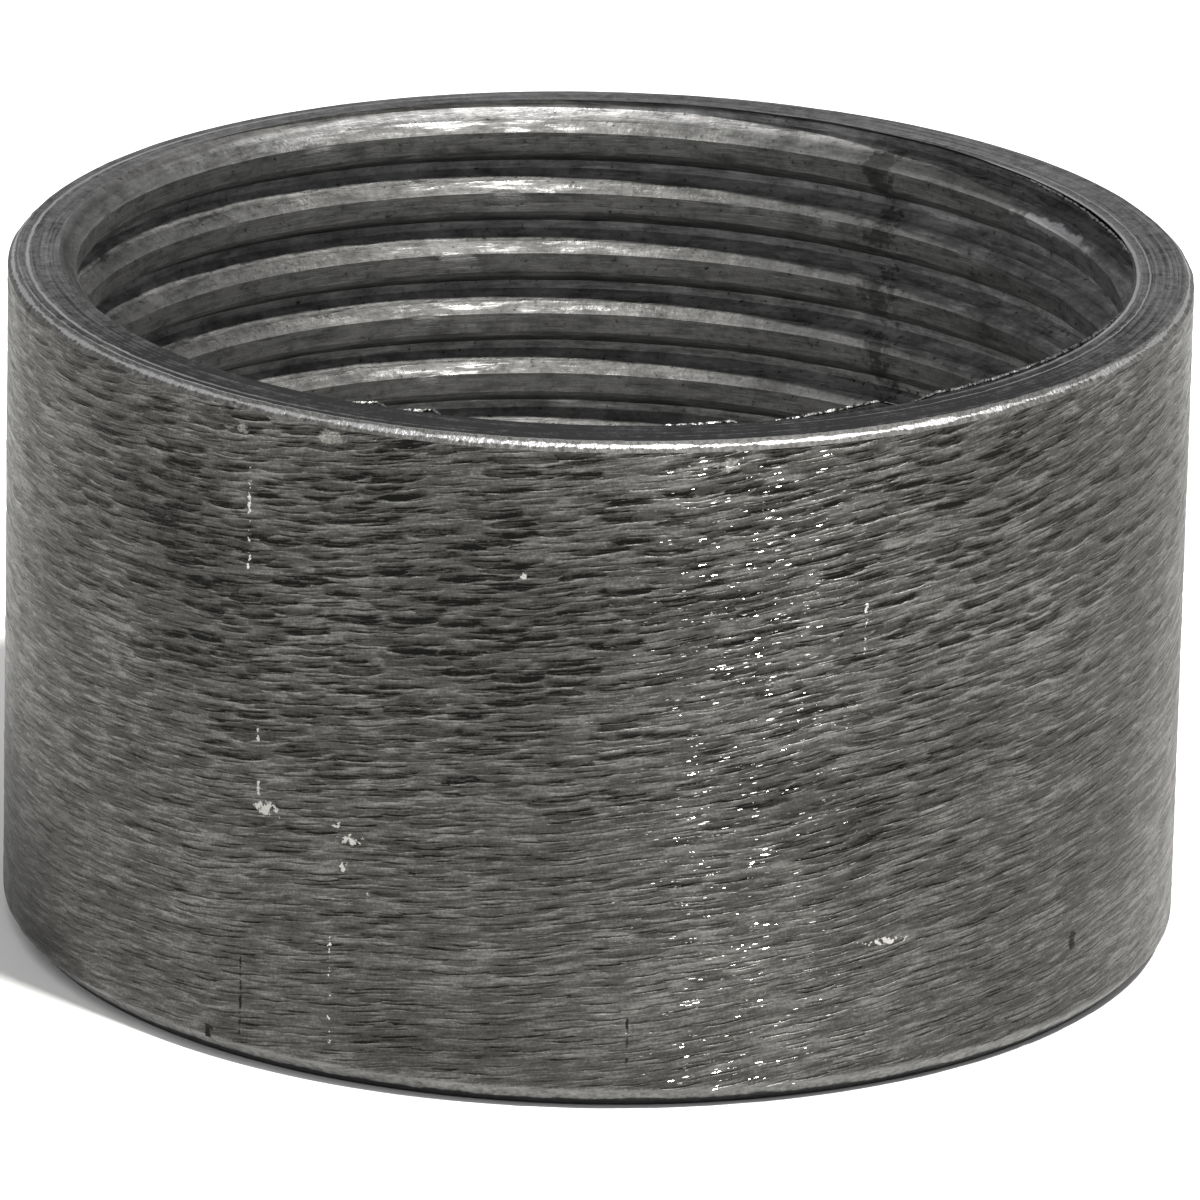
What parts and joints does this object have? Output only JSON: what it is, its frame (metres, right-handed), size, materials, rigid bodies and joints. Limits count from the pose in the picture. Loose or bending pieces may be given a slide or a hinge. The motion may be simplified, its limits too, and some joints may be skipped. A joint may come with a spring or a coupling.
{
  "type": "pipe cap",
  "caption": "Short round steel pipe cap: a cup with one closed flat end and a female screw thread inside its open mouth.",
  "frame": {"origin": "centre of the closed end's flat outer face", "axes": "+Z along the cap's axis towards the open mouth; +Y is the side of the bore that the thread's groove opens beside"},
  "size_m": [0.04, 0.04, 0.023],
  "materials": {
    "raw_steel": "bare belt-ground carbon steel, mid grey with short dark grinding streaks round the wall, satin"
  },
  "bodies": {
    "root": {"cap_body": "raw_steel"}
  },
  "joints": []
}
